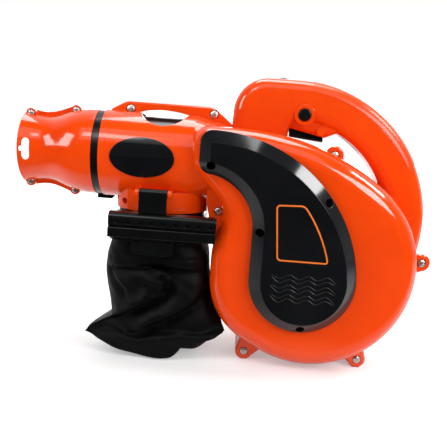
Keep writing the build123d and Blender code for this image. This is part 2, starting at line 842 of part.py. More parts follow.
for side in (-1, 1):
    x0 = fan_x + side * brush_in
    x1 = fan_x + side * (brush_in + brush_length)
    brush = block(min(x0, x1), max(x0, x1), brush_y - brush_width / 2, brush_y + brush_width / 2,
                  fan_z - brush_height / 2, fan_z + brush_height / 2)
    carbon_brushes.append(brush)
    hold_in = fan_x + side * (brush_in + holder_back)
    hold_out = fan_x + side * can_bore
    sleeve = block(min(hold_in, hold_out), max(hold_in, hold_out),
                   brush_y - brush_width / 2 - holder_wall, brush_y + brush_width / 2 + holder_wall,
                   fan_z - brush_height / 2 - holder_wall, fan_z + brush_height / 2 + holder_wall)
    sleeve -= block(min(x0, hold_out), max(x0, hold_out), brush_y - brush_width / 2,
                    brush_y + brush_width / 2, fan_z - brush_height / 2, fan_z + brush_height / 2)
    brush_holders.append(sleeve & rod_y(fan_x, fan_z, can_bore, can_back, can_front))

fan_disc = rod_y(fan_x, fan_z, fan_r, fan_start, fan_start + fan_plate)
fan_hub = rod_y(fan_x, fan_z, fan_hub_r, fan_start, fan_end)
fan = fan_disc + fan_hub
for i in range(fan_blades):
    turn = 360 / fan_blades * i
    root = polar(fan_centre, fan_blade_in, turn)
    tip = polar(fan_centre, fan_r - fan_blade_thick / 2, turn - fan_blade_sweep)
    bend = polar(fan_centre, (fan_blade_in + fan_r) / 2, turn - fan_blade_sweep / 2 + fan_blade_bow)
    blade_line = ThreePointArc(root, bend, tip)
    fan += slab(trace(blade_line, fan_blade_thick), fan_start, fan_end)
fan -= shaft_hole
fan_washer = rod_y(fan_x, fan_z, washer_r, fan_end, nut_y) - shaft_hole
nut_face = Pos(*fan_centre) * RegularPolygon(nut_width / 2, 6, major_radius=False)
fan_nut = slab(nut_face, nut_y, nut_y + nut_h)
fan_nut -= shaft_hole

# Motor cover: a flat face with a wide bevel, seated on the rounded shell
cover_face = near_face - cover_height


def cover_outline():
    peak = polar(sweep_centre, cover_sweep_r, 90)
    sweep = CenterArc(sweep_centre, cover_sweep_r, cover_sweep_angle, 90 - cover_sweep_angle)
    throat_start = polar(throat_centre, cover_throat_r, cover_throat_angle)
    throat = CenterArc(throat_centre, cover_throat_r, 0, cover_throat_angle)
    throat_end = polar(throat_centre, cover_throat_r, 0)
    lobe_left = polar(fan_centre, cover_lobe_r, 180)
    lobe = CenterArc(fan_centre, cover_lobe_r, 180, 180 + cover_sweep_angle)
    tail = Polyline(peak, (cover_tail, peak[1]), (cover_tail, throat_start[1]), throat_start)
    outline = make_face([sweep, tail, throat, Line(throat_end, lobe_left), lobe])
    outline = round_corner(outline, (cover_tail, peak[1]), cover_tail_round)
    return round_corner(outline, (cover_tail, throat_start[1]), cover_heel_round)


def cover_block(inset):
    sketch = cover_outline()
    if inset > 0:
        sketch = offset(sketch, -inset)
    face_y = cover_face + inset
    solid = slab(sketch, face_y, near_face + cover_skirt)
    rim = solid.edges().filter_by_position(Axis.Y, face_y - edge_reach, face_y + edge_reach)
    face = solid.faces().sort_by(Axis.Y)[0]
    return chamfer(rim, cover_bevel_in - inset, cover_bevel_deep - inset / 2, reference=face)


cover_solid = cover_block(0)
motor_cover = cover_solid - cover_block(cover_wall) - scroll_body(0)
for x, z in cover_points:
    motor_cover += rod_y(x, z, cover_pillar_r, cover_face + overcut, near_face) & cover_solid
cover_screw_seat = near_face - cover_seat
cover_screws = []
for x, z in cover_points:
    motor_cover -= rod_y(x, z, cover_pocket_r, cover_face - overcut, cover_screw_seat)
    motor_cover -= rod_y(x, z, cover_shank_r, cover_screw_seat - overcut, near_face + overcut)
    cover_screws.append(screw(x, z, cover_screw_seat, 1, cover_head_r, cover_head_h, cover_shank_r,
                              cover_screw_length))

# Intake grille over the far side
grille_out = far_face + grille_height
grille_ring = turned_on_motor([
    (grille_r - grille_wall, far_face), (grille_flange_r, far_face),
    (grille_flange_r, far_face + grille_flange_h), (grille_r, far_face + grille_flange_h),
    (grille_r, grille_out), (grille_r - grille_wall, grille_out)])
bar_back = grille_out - grille_bar_inset - grille_bar_depth
bar_pitch = (grille_r - grille_wall) * 2 / (grille_bars + 1)
bars = Rectangle(grille_r * 2, grille_bar_width)
for i in range(grille_bars):
    drop = (i - (grille_bars - 1) / 2) * bar_pitch
    bars += Pos(0, drop) * Rectangle(grille_r * 2, grille_bar_width)
bars += Rectangle(grille_spine, grille_r * 2)
bars = bars & Circle(grille_r - grille_wall / 2)
intake_grille = grille_ring + slab(Pos(*fan_centre) * bars, bar_back, bar_back + grille_bar_depth)
for x, z in grille_points:
    intake_grille += rod_y(x, z, cover_pillar_r, far_face, far_face + grille_flange_h)
    intake_grille -= rod_y(x, z, cover_shank_r, far_face - overcut, far_face + grille_flange_h + overcut)
grille_screws = [screw(x, z, far_face + grille_flange_h, -1, cover_head_r, cover_head_h, cover_shank_r,
                       cover_boss_depth) for x, z in grille_points]

# Duct tube inside the barrel, with two lands that seat in the bore and an outlet to the bag
barrel_bore = barrel_r - shell_wall
tube_bore = tube_r - tube_wall
front_land = barrel_front + tube_land_width
rear_land = tube_rear - tube_land_width
duct_tube = turned_on_barrel([
    (tube_front, tube_bore), (tube_front, tube_r), (barrel_front, tube_r), (barrel_front, barrel_bore),
    (front_land, barrel_bore), (front_land, tube_r), (rear_land, tube_r), (rear_land, barrel_bore),
    (tube_rear, barrel_bore), (tube_rear, tube_bore)])
duct_tube -= port_body(tube_port_inset, axis_z)

# Lock ring with its thumb tab
ring_right = barrel_front - ring_gap
ring_left = ring_right - ring_width
lock_ring = turned_on_barrel([(ring_left, tube_r + ring_gap), (ring_left, ring_r), (ring_right, ring_r),
                              (ring_right, tube_r + ring_gap)])
tab_in = barrel_r + ring_tab_gap
ring_tab_left = ring_left - ring_tab_lead
tab_profile = make_face(Polyline(
    (ring_left, axis_z + ring_r - overcut), (ring_left, axis_z + tab_in), (ring_tab_left, axis_z + tab_in),
    (ring_tab_left, axis_z + tab_in + ring_tab_thick),
    (ring_tab_left + ring_tab_length - ring_tab_thick, axis_z + tab_in + ring_tab_thick),
    (ring_tab_left + ring_tab_length, axis_z + tab_in), (ring_right, axis_z + tab_in),
    (ring_right, axis_z + ring_r - overcut), close=True))
tab_arc = revolve(Plane.XZ * tab_profile, Axis((0, 0, axis_z), (1, 0, 0)), ring_tab_sweep)
tab_turn = 90 - ring_tab_angle - ring_tab_sweep / 2
lock_ring += tab_arc.rotate(Axis((0, 0, axis_z), (1, 0, 0)), tab_turn)

# Nozzle in two halves, with a flange along the parting plane
nozzle_right_x = ring_left - ring_gap
nozzle_mouth_x = nozzle_right_x - nozzle_length
joint_x = nozzle_right_x - nozzle_joint_length


def nozzle_spline(inset):
    points = [(joint_x, nozzle_joint_r - inset), (nozzle_waist_x, nozzle_waist_r - inset),
              (nozzle_mouth_x, nozzle_mouth_r - inset)]
    lifted = [(x, axis_z + r) for x, r in points]
    return Spline(*lifted, tangents=[(-1, 0), (-1, mouth_flare)])


def nozzle_body(inset):
    curve = nozzle_spline(inset)
    start = (nozzle_right_x, axis_z + nozzle_joint_r - inset)
    shoulder = (joint_x, axis_z + nozzle_joint_r - inset)
    mouth = (nozzle_mouth_x, axis_z + nozzle_mouth_r - inset)
    edges = [Line(start, shoulder), curve,
             Polyline(mouth, (nozzle_mouth_x, axis_z), (nozzle_right_x, axis_z), start)]
    return revolve(Plane.XZ * make_face(edges), Axis((0, 0, axis_z), (1, 0, 0)))


def nozzle_flange():
    curve = nozzle_spline(-flange_height)
    start = (joint_x, axis_z + nozzle_joint_r + flange_height)
    end = (nozzle_mouth_x, axis_z + nozzle_mouth_r + flange_height)
    low = axis_z
    face = make_face([curve, Polyline(end, (nozzle_mouth_x, low), (joint_x, low), start)])
    top = slab(face, -flange_half, flange_half) & block(nozzle_ear_front, nozzle_ear_rear, -flange_half,
                                                        flange_half, axis_z, axis_z + nozzle_joint_r * 2)
    for x, r in nozzle_ears:
        top += rod_y(x, axis_z + r, nozzle_ear_r, -nozzle_ear_half, nozzle_ear_half)
    return top + top.mirror(Plane.XY.offset(axis_z))


nozzle_ears = [(nozzle_ear_front, nozzle_ear_front_r), (nozzle_ear_rear, nozzle_ear_rear_r)]
nozzle_screw_points = [(x, axis_z + side * r) for x, r in nozzle_ears for side in (-1, 1)]
socket_r = tube_r + ring_gap
nozzle_bore = nozzle_body(nozzle_wall)
nozzle_socket = turned_on_barrel([(tube_front - ring_gap, 0), (tube_front - ring_gap, socket_r),
                                  (nozzle_right_x + overcut, socket_r), (nozzle_right_x + overcut, 0)])
nozzle = nozzle_body(0) + nozzle_flange() - nozzle_bore
nozzle -= nozzle_socket
nozzle_seat = -nozzle_ear_half + counterbore_depth / 2
nozzle_screw_end = nozzle_seat + nozzle_screw_length + screw_clear
for x, z in nozzle_screw_points:
    nozzle -= rod_y(x, z, nozzle_screw_shank_r, -nozzle_ear_half, nozzle_screw_end)
    nozzle -= rod_y(x, z, nozzle_screw_head_r + screw_clear, -nozzle_ear_half - overcut, nozzle_seat)
slot_face = Pos(slot_x, axis_z) * SlotOverall(slot_height, slot_width, rotation=90)
slot_face += Pos(slot_x - slot_width / 2, axis_z) * Circle(slot_nub_r)
nozzle -= slab(slot_face, -nozzle_joint_r, -nozzle_wall)
nozzle_left, nozzle_right = halves(nozzle)
nozzle_screws = [screw(x, z, nozzle_seat, 1, nozzle_screw_head_r, nozzle_screw_head_h, nozzle_screw_shank_r,
                       nozzle_screw_length) for x, z in nozzle_screw_points]

# Bare oval badge on the near side of the barrel
badge_prism = slab(Pos(badge_x, axis_z) * Ellipse(badge_rx, badge_rz), -barrel_r * 2, 0)
badge_skin = rod_x(0, axis_z, barrel_r + badge_thick, barrel_front, barrel_straight_end)
badge = (badge_skin - rod_x(0, axis_z, barrel_r, barrel_front, barrel_straight_end)) & badge_prism

# Bag frame: a box rim with an oval spigot that plugs into the port
frame_bottom = frame_top - frame_height


def frame_slab(inset, low, high):
    rim = RectangleRounded((frame_half_x - inset) * 2, (frame_half_y - inset) * 2, frame_corner - inset)
    return extrude(Plane.XY.offset(low) * Pos(bag_frame_x, 0) * rim, amount=high - low)


def port_slab(inset, low, high):
    oval = Pos(port_x, 0) * Ellipse(port_rx - inset, port_ry - inset)
    return extrude(Plane.XY.offset(low) * oval, amount=high - low)


spigot_in = shell_wall + spigot_gap
spigot_top = port_z + spigot_height
bag_frame = frame_slab(0, frame_bottom, frame_top)
bag_frame -= frame_slab(frame_wall, frame_bottom, frame_top - frame_deck)
bag_frame += port_slab(spigot_in, frame_top - frame_deck, spigot_top)
bag_frame -= port_slab(spigot_in + spigot_wall, frame_bottom, spigot_top)

# Front rail: a rounded upper lobe with a row of holes, over a flat band
rail_face = -frame_half_y - rail_proud
rail_back = -frame_half_y + rail_sink
band_top = rail_low + rail_band
lobe_face = rail_face + rail_lobe_inset
lobe = block(rail_left, rail_right, lobe_face, rail_back, band_top - overcut, rail_high)
lobe = fillet(lobe.edges().filter_by(Axis.X).group_by(Axis.Y)[0], rail_round)
band = block(rail_left, rail_right, rail_face, rail_back, rail_low, band_top)
band = fillet(band.edges().filter_by(Axis.X).group_by(Axis.Y)[0], band_round)
bag_frame += lobe + band
hole_z = rail_high - frame_hole_drop
for i in range(frame_holes):
    hole_x = frame_hole_first + i * frame_hole_pitch
    bag_frame -= rod_y(hole_x, hole_z, frame_hole_r, rail_face, lobe_face + frame_hole_depth)

# Post behind the rail whose slot catches the clip's nose
clip_face = clip_pin_y - clip_roll_r
clip_back = clip_face + clip_plate
clip_foot = rail_high + clip_gap
post_face = clip_back + catch_gap
bag_frame += block(clip_x - catch_half, clip_x + catch_half, post_face, post_face + catch_deep,
                   frame_top - frame_deck, rail_high + catch_rise)
bag_frame -= block(clip_x - catch_half - overcut, clip_x + catch_half + overcut, post_face - catch_gap,
                   clip_back + clip_nose + clip_gap, clip_foot - clip_gap, clip_foot + clip_hook + clip_gap)
pit_notch = port_pit_r + port_pit_wall + clip_gap
bag_frame -= block(port_pit_x - pit_notch, port_pit_x + pit_notch, -port_ry, 0,
                   port_pit_z - pit_notch, spigot_top)
tab_top = rail_low
bag_tab_face = Pos(tab_left + tab_width / 2, (tab_top + tab_bottom) / 2) * RectangleRounded(
    tab_width, tab_top - tab_bottom, tab_round)
bag_tab = slab(bag_tab_face, -frame_half_y - tab_thick, -frame_half_y)
for side in (-1, 1):
    tab_slot_x = tab_left + tab_width / 2 + side * (tab_width / 2 - tab_slot_width)
    bag_tab -= block(tab_slot_x - tab_slot_width / 2, tab_slot_x + tab_slot_width / 2,
                     -frame_half_y - tab_thick - overcut, -frame_half_y + overcut,
                     tab_top - tab_slot_drop - tab_slot_height, tab_top - tab_slot_drop)

# Clip that swings on a cross pin and holds the frame under the port
bag_clip = rod_x(clip_pin_y, clip_pin_z, clip_roll_r, clip_x - clip_half, clip_x + clip_half)
bag_clip += block(clip_x - clip_half, clip_x + clip_half, clip_face, clip_back, clip_foot, clip_pin_z)
bag_clip += block(clip_x - clip_half, clip_x + clip_half, clip_face, clip_back + clip_nose,
                  clip_foot, clip_foot + clip_hook)
bag_clip -= rod_x(clip_pin_y, clip_pin_z, clip_pin_r + pin_clear, clip_x - clip_half - overcut,
                  clip_x + clip_half + overcut)
clip_pin_half = clip_half + lug_gap + lug_width
clip_pin = rod_x(clip_pin_y, clip_pin_z, clip_pin_r, clip_x - clip_pin_half, clip_x + clip_pin_half)


# Dust bag: an open-topped skin hanging from the frame and slumped on the floor, each level given by its
# left, right, near and far side, with a sewn hem along the foot of its near side
bag_top = (bag_frame_x - frame_half_x, bag_frame_x + frame_half_x, bag_tuck - frame_half_y,
           frame_half_y - bag_tuck)


def bag_section(sides, z, inset):
    left, right, near, far = sides
    face = RectangleRounded(right - left - inset * 2, far - near - inset * 2, bag_corner - inset)
    return Plane.XY.offset(z) * Pos((left + right) / 2, (near + far) / 2) * face


def bag_form(inset, low):
    return loft([bag_section(bag_foot, low, inset), bag_section(bag_low, bag_low_z, inset),
                 bag_section(bag_mid, bag_mid_z, inset), bag_section(bag_top, frame_bottom, inset)])


hem = slab(make_face(Polyline(*bag_hem, close=True)), bag_hem_near, bag_hem_far)
hem = round_side(hem, bag_hem_near, bag_hem_round)
dust_bag = bag_form(0, bag_floor) + hem - bag_form(bag_wall, bag_floor + bag_wall)

nodes = {
    "left_shell": [left_shell], "right_shell": [right_shell], "housing_screws": housing_screws,
    "handle_left": [handle_left], "handle_right": [handle_right], "grip_strip": [grip_strip],
    "handle_screws": handle_screws, "cord_bush": [cord_bush],
    "trigger": [trigger], "trigger_pin": [trigger_cross_pin], "lock_button": [lock_button],
    "speed_dial": [speed_dial], "dial_pin": [dial_pin], "switch_module": [switch_module],
    "motor_cover": [motor_cover], "cover_screws": cover_screws, "badge": [badge],
    "motor_can": [motor_can], "rear_bracket": [rear_bracket], "front_bearing": [front_bearing],
    "rear_bearing": [rear_bearing], "stator_core": [stator_core], "field_coils": field_coils,
    "carbon_brushes": carbon_brushes, "brush_holders": brush_holders,
    "shaft": [shaft], "armature_core": [armature_core], "armature_windings": [winding_front, winding_back],
    "commutator": [commutator], "fan": [fan], "fan_washer": [fan_washer], "fan_nut": [fan_nut],
    "intake_grille": [intake_grille], "grille_screws": grille_screws,
    "duct_tube": [duct_tube], "lock_ring": [lock_ring],
    "nozzle_left": [nozzle_left], "nozzle_right": [nozzle_right], "nozzle_screws": nozzle_screws,
    "bag_frame": [bag_frame], "bag_tab": [bag_tab], "bag_clip": [bag_clip], "clip_pin": [clip_pin],
    "dust_bag": [dust_bag],
}

os.makedirs("parts", exist_ok=True)
for name, pieces in nodes.items():
    solids = [solid for piece in pieces for solid in piece.solids()]
    export_step(Compound(solids), f"parts/{name}.step")
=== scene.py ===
import json
import math

import bmesh
import bpy
from mathutils import Matrix, Vector, noise


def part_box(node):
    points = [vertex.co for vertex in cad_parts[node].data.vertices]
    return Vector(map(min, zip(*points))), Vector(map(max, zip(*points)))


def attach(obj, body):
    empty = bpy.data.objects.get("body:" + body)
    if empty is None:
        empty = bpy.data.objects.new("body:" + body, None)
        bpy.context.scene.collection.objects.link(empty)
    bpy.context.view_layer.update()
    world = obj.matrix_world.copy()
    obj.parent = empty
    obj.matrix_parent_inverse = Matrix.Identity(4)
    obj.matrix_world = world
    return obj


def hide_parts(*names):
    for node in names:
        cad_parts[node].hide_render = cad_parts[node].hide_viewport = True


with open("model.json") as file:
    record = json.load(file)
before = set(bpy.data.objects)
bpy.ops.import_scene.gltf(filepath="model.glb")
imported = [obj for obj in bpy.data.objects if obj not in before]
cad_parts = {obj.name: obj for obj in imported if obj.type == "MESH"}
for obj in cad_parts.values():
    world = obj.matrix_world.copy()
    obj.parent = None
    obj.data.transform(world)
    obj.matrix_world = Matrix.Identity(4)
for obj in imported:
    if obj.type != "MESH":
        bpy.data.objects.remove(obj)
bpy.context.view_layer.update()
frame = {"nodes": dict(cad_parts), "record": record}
nodes = frame["nodes"]
mm = 0.001
scene = bpy.context.scene
scene.view_settings.view_transform = "Standard"
print("frame loaded:", len(nodes), "nodes")


# Colours are written as sRGB hex and turned to linear here
def linear(hexColour):
    channels = [int(hexColour[i:i + 2], 16) / 255 for i in (1, 3, 5)]
    return [c / 12.92 if c <= 0.04045 else ((c + 0.055) / 1.055) ** 2.4 for c in channels] + [1.0]


# Scale of a noise whose features are about this many millimetres across
def featureScale(size):
    return 1.0 / (size * mm)


def addNode(tree, kind, settings=None, links=None):
    node = tree.nodes.new(kind)
    for name, value in (settings or {}).items():
        if name == "stops":
            for element, (place, colour) in zip(node.color_ramp.elements, value):
                element.position = place
                element.color = colour
        elif isinstance(name, str) and hasattr(node, name):
            setattr(node, name, value)
        else:
            node.inputs[name].default_value = value
    for name, source in (links or {}).items():
        tree.links.new(source, node.inputs[name])
    return node


def startMaterial(name):
    material = bpy.data.materials.new(name)
    material.use_nodes = True
    material.node_tree.nodes.clear()
    return material, material.node_tree


# Moulded plastic: even colour with faint flow marks, a polished or spark-textured skin, and edges that
# catch the light as if rounded by the mould
def mouldedPlastic(look):
    material, tree = startMaterial(look["name"])
    place = addNode(tree, "ShaderNodeTexCoord")
    flow = addNode(tree, "ShaderNodeTexNoise", {"Scale": featureScale(look["flow"]), "Detail": 2.0},
                   {"Vector": place.outputs["Object"]})
    skin = addNode(tree, "ShaderNodeTexNoise", {"Scale": featureScale(look["skin"]), "Detail": 3.0},
                   {"Vector": place.outputs["Object"]})
    tone = addNode(tree, "ShaderNodeValToRGB",
                   {"stops": ((0.3, linear(look["dark"])), (0.7, linear(look["light"])))},
                   {"Fac": flow.outputs["Fac"]})
    gloss = addNode(tree, "ShaderNodeMapRange",
                    {"To Min": look["smooth"], "To Max": look["rough"]}, {"Value": skin.outputs["Fac"]})
    edge = addNode(tree, "ShaderNodeBevel", {"samples": 6, "Radius": look["edge"] * mm})
    relief = addNode(tree, "ShaderNodeBump", {"Strength": look["relief"], "Distance": look["depth"] * mm},
                     {"Height": skin.outputs["Fac"], "Normal": edge.outputs["Normal"]})
    shader = addNode(tree, "ShaderNodeBsdfPrincipled",
                     {"IOR": look["ior"], "Coat Weight": look["coat"], "Coat Roughness": look["coatRough"]},
                     {"Base Color": tone.outputs["Color"], "Roughness": gloss.outputs["Result"],
                      "Normal": relief.outputs["Normal"]})
    addNode(tree, "ShaderNodeOutputMaterial", None, {"Surface": shader.outputs["BSDF"]})
    return material


# Metals: plated, blackened or bare, with fine directional brushing
def finishedMetal(look):
    material, tree = startMaterial(look["name"])
    place = addNode(tree, "ShaderNodeTexCoord")
    stretch = addNode(tree, "ShaderNodeMapping", {"Scale": look["stretch"]},
                      {"Vector": place.outputs["Object"]})
    brush = addNode(tree, "ShaderNodeTexNoise", {"Scale": featureScale(look["brush"]), "Detail": 4.0},
                    {"Vector": stretch.outputs["Vector"]})
    tone = addNode(tree, "ShaderNodeValToRGB",
                   {"stops": ((0.25, linear(look["dark"])), (0.75, linear(look["light"])))},
                   {"Fac": brush.outputs["Fac"]})
    gloss = addNode(tree, "ShaderNodeMapRange",
                    {"To Min": look["smooth"], "To Max": look["rough"]}, {"Value": brush.outputs["Fac"]})
    relief = addNode(tree, "ShaderNodeBump", {"Strength": look["relief"], "Distance": look["depth"] * mm},
                     {"Height": brush.outputs["Fac"]})
    shader = addNode(tree, "ShaderNodeBsdfPrincipled", {"Metallic": 1.0},
                     {"Base Color": tone.outputs["Color"], "Roughness": gloss.outputs["Result"],
                      "Normal": relief.outputs["Normal"]})
    addNode(tree, "ShaderNodeOutputMaterial", None, {"Surface": shader.outputs["BSDF"]})
    return material


# Plain-weave cloth: warp and weft threads cross on the piece's own UV map, which is in metres
def wovenCloth(look):
    material, tree = startMaterial(look["name"])
    place = addNode(tree, "ShaderNodeTexCoord")
    threads = math.tau / (look["thread"] * mm * 20)  # one band of a wave texture is a twentieth of a turn
    sets = []
    for way in ("X", "Y"):
        sets.append(addNode(tree, "ShaderNodeTexWave",
                            {"bands_direction": way, "Scale": threads, "Distortion": look["waver"],
                             "Detail Scale": 2.0},
                            {"Vector": place.outputs["UV"]}))
    warp, weft = sets
    weave = addNode(tree, "ShaderNodeMath", {"operation": "MULTIPLY"},
                    {0: warp.outputs["Fac"], 1: weft.outputs["Fac"]})
    wear = addNode(tree, "ShaderNodeTexNoise", {"Scale": featureScale(look["wear"]), "Detail": 4.0},
                   {"Vector": place.outputs["Object"]})
    worn = addNode(tree, "ShaderNodeMath", {"operation": "MULTIPLY"},
                   {0: weave.outputs["Value"], 1: wear.outputs["Fac"]})
    tone = addNode(tree, "ShaderNodeValToRGB",
                   {"stops": ((0.05, linear(look["dark"])), (0.5, linear(look["light"])))},
                   {"Fac": worn.outputs["Value"]})
    gloss = addNode(tree, "ShaderNodeMapRange",
                    {"To Min": look["smooth"], "To Max": look["rough"]}, {"Value": wear.outputs["Fac"]})
    relief = addNode(tree, "ShaderNodeBump", {"Strength": look["relief"], "Distance": look["depth"] * mm},
                     {"Height": weave.outputs["Value"]})
    shader = addNode(tree, "ShaderNodeBsdfPrincipled", {"Specular IOR Level": look["shine"]},
                     {"Base Color": tone.outputs["Color"], "Roughness": gloss.outputs["Result"],
                      "Normal": relief.outputs["Normal"]})
    addNode(tree, "ShaderNodeOutputMaterial", None, {"Surface": shader.outputs["BSDF"]})
    return material


# Glossy injection-moulded ABS in orange: deep even colour, sharp soft-box reflections, faint orange peel.
# Here and below, flow, skin, brush, thread, wear, depth and edge are in millimetres
orangeAbs = mouldedPlastic({
    "name": "glossOrangeAbs", "dark": "#ea4203", "light": "#f24806",
    "flow": 60, "skin": 3.0, "relief": 0.1, "depth": 0.02, "edge": 0.8,
    "smooth": 0.08, "rough": 0.15, "ior": 1.53, "coat": 0.45, "coatRough": 0.06})

# The grip strip is the same resin with a finer, slightly duller skin
orangeGrip = mouldedPlastic({
    "name": "satinOrangeAbs", "dark": "#ea4203", "light": "#f24806",
    "flow": 50, "skin": 1.6, "relief": 0.05, "depth": 0.02, "edge": 0.4,
    "smooth": 0.2, "rough": 0.28, "ior": 1.5, "coat": 0.0, "coatRough": 0.1})

# Glossy black ABS of the cover and the badge: near black, mirror-like with slight waviness
blackGlossAbs = mouldedPlastic({
    "name": "glossBlackAbs", "dark": "#0d0e10", "light": "#131416",
    "flow": 45, "skin": 4.0, "relief": 0.08, "depth": 0.02, "edge": 1.0,
    "smooth": 0.08, "rough": 0.14, "ior": 1.5, "coat": 0.1, "coatRough": 0.05})

# Satin black polypropylene of the frame, clip, ring and trigger: spark-eroded mould skin
blackSatin = mouldedPlastic({
    "name": "satinBlackPolypropylene", "dark": "#08090a", "light": "#0e0f10",
    "flow": 30, "skin": 0.9, "relief": 0.3, "depth": 0.05, "edge": 0.7,
    "smooth": 0.18, "rough": 0.3, "ior": 1.49, "coat": 0.0, "coatRough": 0.1})

# Moulded rubber bush: matt, slightly greyish
rubber = mouldedPlastic({
    "name": "mouldedRubber", "dark": "#101010", "light": "#1c1c1c",
    "flow": 12, "skin": 0.7, "relief": 0.4, "depth": 0.06, "edge": 0.5,
    "smooth": 0.6, "rough": 0.75, "ior": 1.52, "coat": 0.0, "coatRough": 0.1})

# Pressed carbon of the brushes: dark grey, dull
carbon = mouldedPlastic({
    "name": "pressedCarbon", "dark": "#1a1a1b", "light": "#262628",
    "flow": 6, "skin": 0.6, "relief": 0.4, "depth": 0.04, "edge": 0.2,
    "smooth": 0.5, "rough": 0.62, "ior": 1.6, "coat": 0.0, "coatRough": 0.1})

# Orange pad print on the cover: thin ink with a soft gloss
orangeInk = mouldedPlastic({
    "name": "orangePadPrint", "dark": "#e0680f", "light": "#ea7418",
    "flow": 10, "skin": 0.8, "relief": 0.15, "depth": 0.02, "edge": 0.15,
    "smooth": 0.34, "rough": 0.44, "ior": 1.48, "coat": 0.0, "coatRough": 0.1})

# Zinc-plated steel screws: pale grey, softly bright
zincSteel = finishedMetal({
    "name": "zincPlatedSteel", "dark": "#d2d0cb", "light": "#f4f2ec",
    "brush": 0.8, "stretch": (1, 1, 1), "relief": 0.15, "depth": 0.02, "smooth": 0.24, "rough": 0.4})

# Black oxide screws: dark, slightly blue
blackSteel = finishedMetal({
    "name": "blackOxideSteel", "dark": "#17181a", "light": "#2a2c30",
    "brush": 0.8, "stretch": (1, 1, 1), "relief": 0.2, "depth": 0.02, "smooth": 0.3, "rough": 0.45})

# Bare sheet and bar steel of the motor: grey, drawn along the axis
bareSteel = finishedMetal({
    "name": "drawnSteel", "dark": "#77787a", "light": "#a4a5a7",
    "brush": 0.6, "stretch": (1, 0.1, 1), "relief": 0.25, "depth": 0.02, "smooth": 0.25, "rough": 0.42})

# Enamelled copper wire and copper segments: warm, banded along the turns
copper = finishedMetal({
    "name": "enamelledCopper", "dark": "#8a4a2a", "light": "#c47a4e",
    "brush": 0.7, "stretch": (1, 6, 1), "relief": 0.5, "depth": 0.08, "smooth": 0.28, "rough": 0.4})

# Woven black polyester of the bag: dull, almost without colour, with a faint sheen on the folds.
# The thread is drawn coarser than its real 0.4 mm so that it shows
bagCloth = wovenCloth({
    "name": "wovenBlackPolyester", "dark": "#020202", "light": "#09090a",
    "thread": 1.5, "waver": 0.6, "wear": 14, "relief": 0.6, "depth": 0.15,
    "smooth": 0.46, "rough": 0.62, "shine": 0.17})

slotMaterials = {
    "orange_abs": orangeAbs, "black_gloss_abs": blackGlossAbs, "black_satin_plastic": blackSatin,
    "black_fabric": bagCloth, "zinc_steel": zincSteel, "black_steel": blackSteel, "motor_steel": bareSteel,
    "copper": copper, "carbon": carbon, "black_rubber": rubber}
for entry in frame["record"]["subparts"]:
    node = nodes[entry["node"]]
    node.data.materials.clear()
    node.data.materials.append(slotMaterials[entry["material_slot"]])
nodes["grip_strip"].data.materials.clear()
nodes["grip_strip"].data.materials.append(orangeGrip)
print("materials:", len(bpy.data.materials))


# Turns a finished bmesh into a piece that rides on a body, with its place in its mesh
def makePiece(name, bm, material, body):
    mesh = bpy.data.meshes.new(name)
    bm.to_mesh(mesh)
    bm.free()
    piece = bpy.data.objects.new(name, mesh)
    scene.collection.objects.link(piece)
    mesh.materials.append(material)
    for face in mesh.polygons:
        face.use_smooth = True
    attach(piece, body)
    return piece


def cadSpan(node, axis):
    low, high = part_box(node)
    return high[axis] - low[axis]


def clamp(value):
    return min(max(value, 0.0), 1.0)


# Value of a drawn profile, curving smoothly through its points
def along(profile, t):
    t = min(max(t, profile[0][0]), profile[-1][0])
    at = 0
    while at < len(profile) - 2 and t > profile[at + 1][0]:
        at += 1
    (t0, v0), (t1, v1) = profile[at], profile[at + 1]
    before, after = profile[max(at - 1, 0)], profile[min(at + 2, len(profile) - 1)]
    step = t1 - t0
    slopeIn = (v1 - before[1]) / (t1 - before[0]) * step
    slopeOut = (after[1] - v0) / (after[0] - t0) * step
    share = (t - t0) / step
    square, cube = share ** 2, share ** 3
    return (v0 * (2 * cube - 3 * square + 1) + slopeIn * (cube - 2 * square + share)
            + v1 * (3 * square - 2 * cube) + slopeOut * (cube - square))


# Distance from a point of the front view to a drawn line, positive above it
def lineDistance(x, z, line):
    best = None
    for (x0, z0), (x1, z1) in zip(line, line[1:]):
        dx, dz = x1 - x0, z1 - z0
        share = clamp(((x - x0) * dx + (z - z0) * dz) / (dx * dx + dz * dz))
        gapX, gapZ = x - x0 - share * dx, z - z0 - share * dz
        gap = math.hypot(gapX, gapZ)
        if best is None or gap < abs(best):
            best = math.copysign(gap, gapZ * dx - gapX * dz)
    return best


